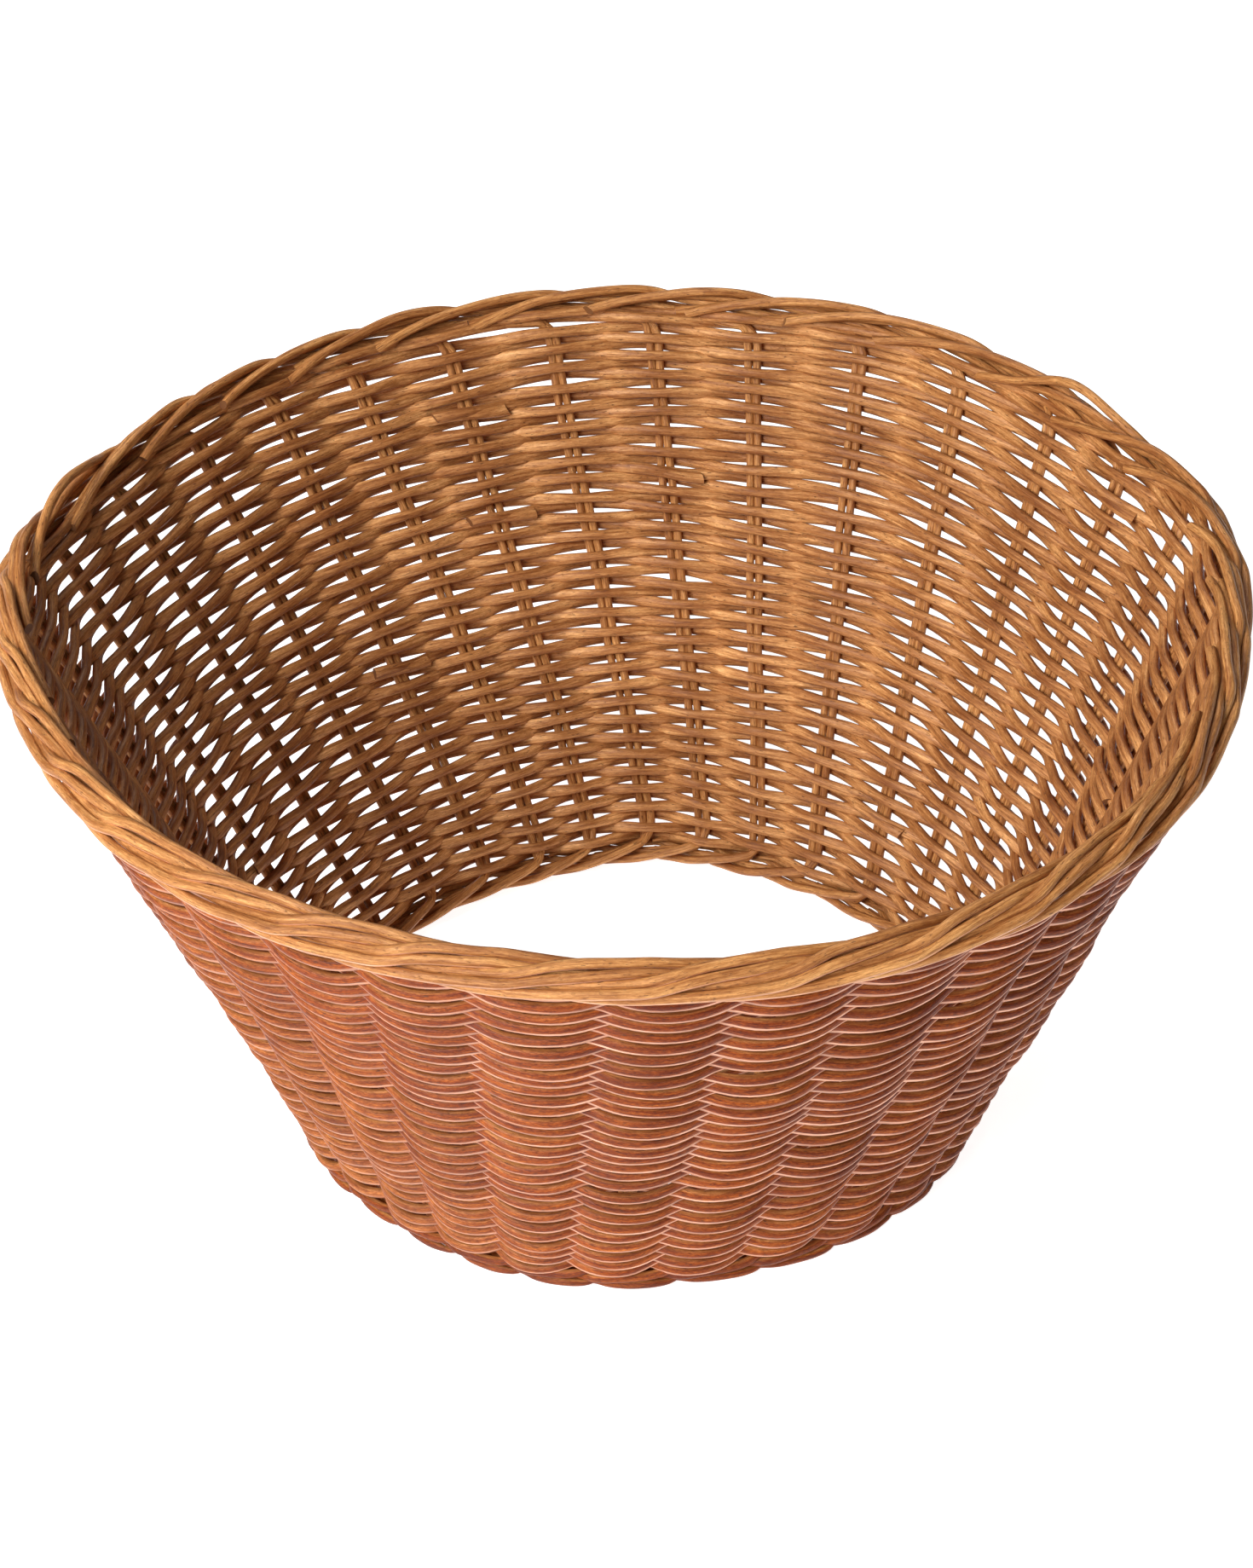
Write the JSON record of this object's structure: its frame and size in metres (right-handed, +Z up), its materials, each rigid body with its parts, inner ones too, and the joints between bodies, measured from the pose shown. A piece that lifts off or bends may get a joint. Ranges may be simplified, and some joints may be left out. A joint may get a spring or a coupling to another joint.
{
  "type": "bread basket",
  "caption": "Round open-bottomed rattan bread basket with flaring randed wall, rope-like rim border and scalloped foot border.",
  "frame": {"origin": "centre of the basket on the plane that the foot border stands on", "axes": "+Z up along the axis of the basket, X and Y level"},
  "size_m": [0.309, 0.309, 0.1499],
  "materials": {
    "stake_cane": "natural rattan cane, golden brown, satin",
    "weaver_cane": "natural rattan cane, reddish brown, satin"
  },
  "bodies": {
    "root": {"stake_pair_01": "stake_cane", "stake_pair_02": "stake_cane", "stake_pair_03": "stake_cane", "stake_pair_04": "stake_cane", "stake_pair_05": "stake_cane", "stake_pair_06": "stake_cane", "stake_pair_07": "stake_cane", "stake_pair_08": "stake_cane", "stake_pair_09": "stake_cane", "stake_pair_10": "stake_cane", "stake_pair_11": "stake_cane", "stake_pair_12": "stake_cane", "stake_pair_13": "stake_cane", "stake_pair_14": "stake_cane", "stake_pair_15": "stake_cane", "stake_pair_16": "stake_cane", "stake_pair_17": "stake_cane", "stake_pair_18": "stake_cane", "stake_pair_19": "stake_cane", "stake_pair_20": "stake_cane", "stake_pair_21": "stake_cane", "stake_pair_22": "stake_cane", "stake_pair_23": "stake_cane", "stake_pair_24": "stake_cane", "stake_pair_25": "stake_cane", "stake_pair_26": "stake_cane", "stake_pair_27": "stake_cane", "stake_pair_28": "stake_cane", "stake_pair_29": "stake_cane", "stake_pair_30": "stake_cane", "stake_pair_31": "stake_cane", "stake_pair_32": "stake_cane", "weaver_01": "weaver_cane", "weaver_02": "weaver_cane", "weaver_03": "weaver_cane", "weaver_04": "weaver_cane", "weaver_05": "weaver_cane", "weaver_06": "weaver_cane", "weaver_07": "weaver_cane", "weaver_08": "weaver_cane", "weaver_09": "weaver_cane", "weaver_10": "weaver_cane", "weaver_11": "weaver_cane", "weaver_12": "weaver_cane", "weaver_13": "weaver_cane", "weaver_14": "weaver_cane"}
  },
  "joints": []
}
